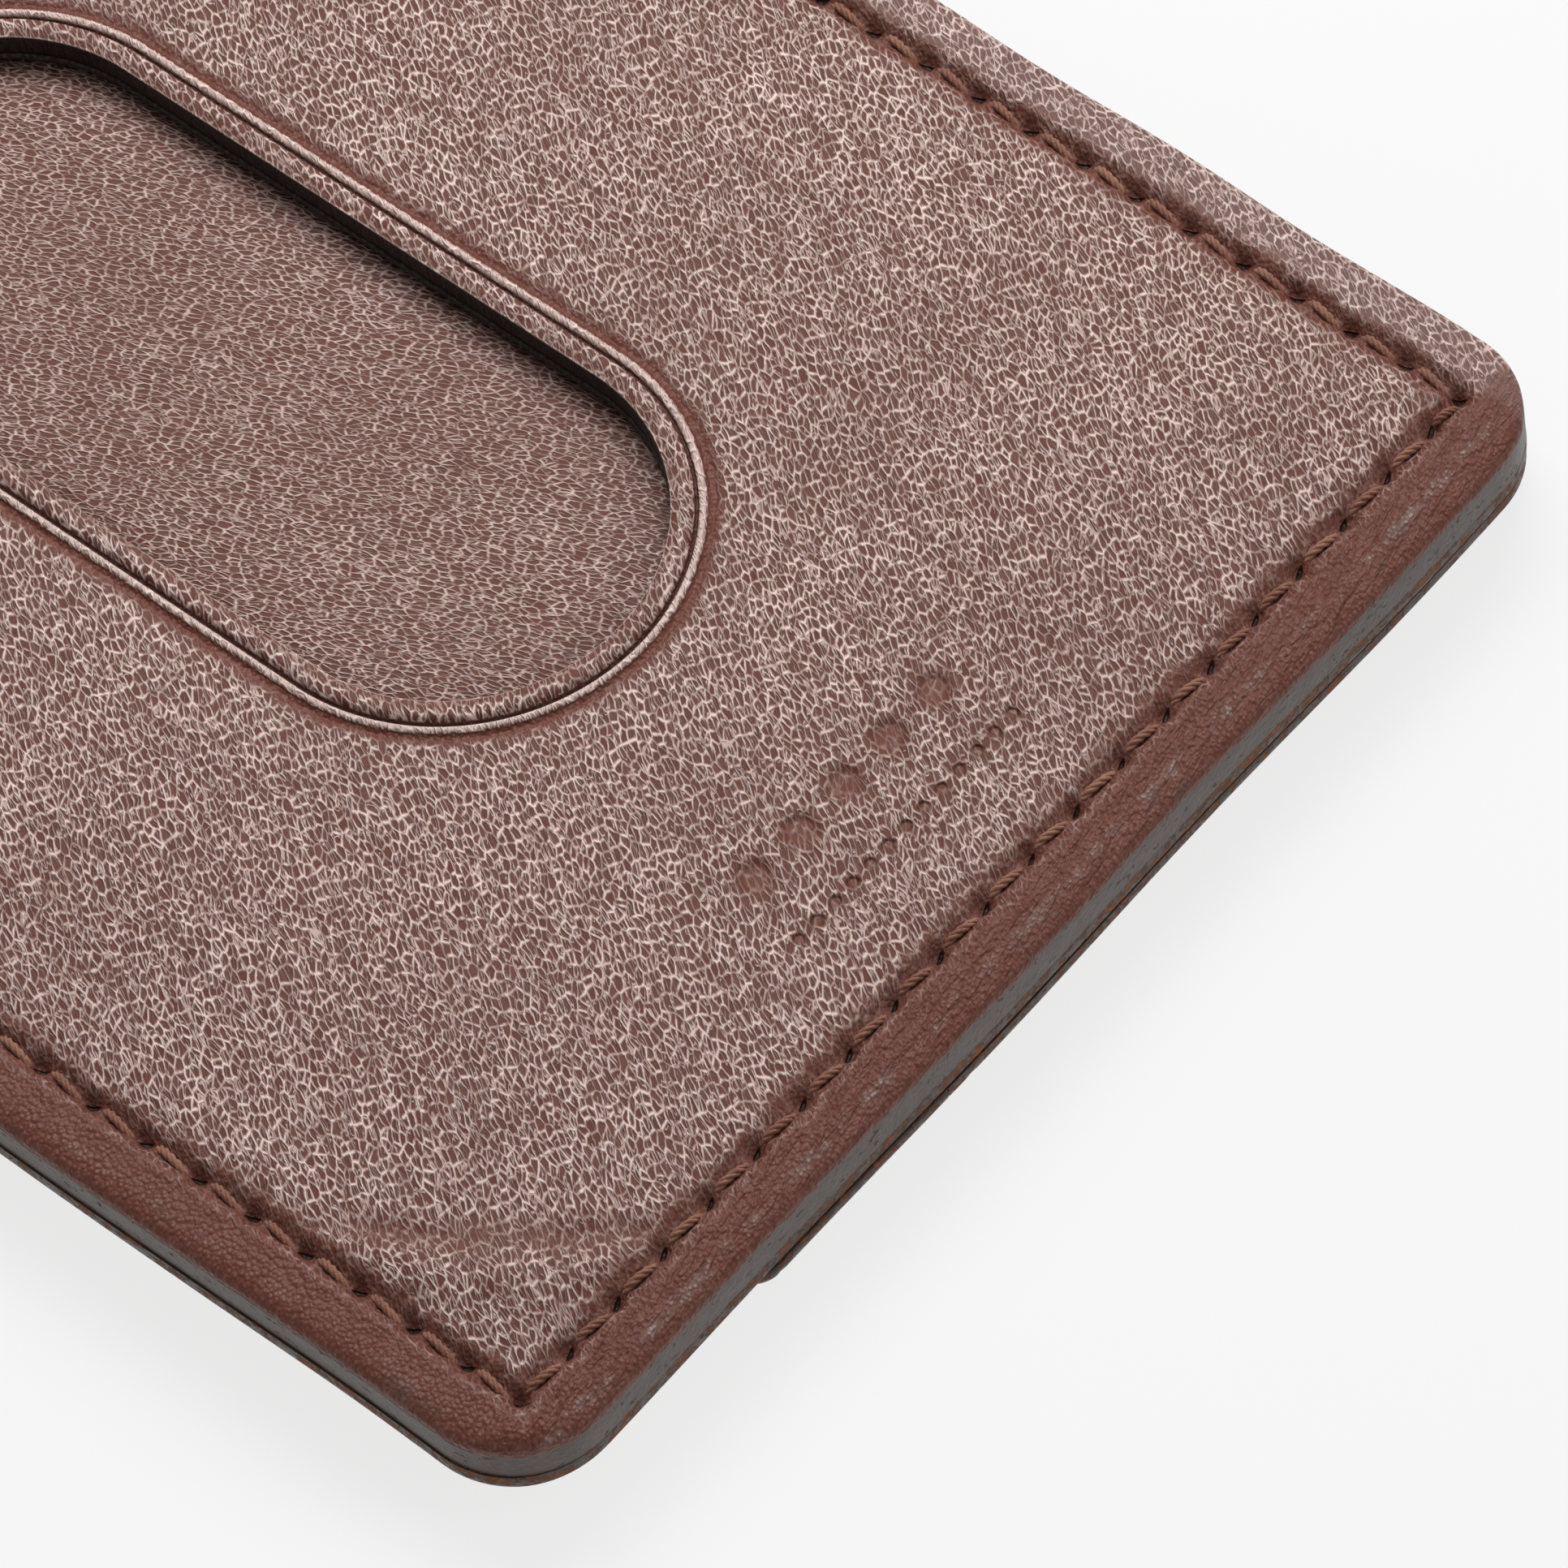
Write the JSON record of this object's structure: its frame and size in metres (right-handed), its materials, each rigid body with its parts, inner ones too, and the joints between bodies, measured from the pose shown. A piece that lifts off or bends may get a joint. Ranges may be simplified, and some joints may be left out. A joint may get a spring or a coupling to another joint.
{
  "type": "business card case",
  "caption": "Flat stitched leather card case with a long thumb window over its front pocket and staggered card slots on the back.",
  "frame": {"origin": "middle of the footprint, on the flat face of the rear pocket panel that the case lies on", "axes": "+X along the length towards the stitched short end (the front pocket's mouth faces -X), +Y across the width away from the rear slots' mouths, +Z out of the front face"},
  "size_m": [0.1, 0.072, 0.0071],
  "materials": {
    "front_leather": "fine pebbled grain, satin",
    "backing_leather": "finer flat grain, matte",
    "rear_leather": "fine grain, satin, edges painted dark grey-brown",
    "lining": "thin split leather, matte",
    "thread": "twisted three-ply thread, satin"
  },
  "bodies": {
    "root": {"front_panel": "front_leather", "front_lining": "lining", "window_backing_panel": "backing_leather", "rear_base_panel": "rear_leather", "rear_slot_strip": "rear_leather", "rear_slot_tongue": "lining", "rear_pocket_panel": "rear_leather", "front_seam_thread": "thread", "rear_seam_thread": "thread", "mouth_seam_thread_rear": "thread", "mouth_seam_thread_inner": "thread", "tongue_thread": "thread"}
  },
  "joints": []
}
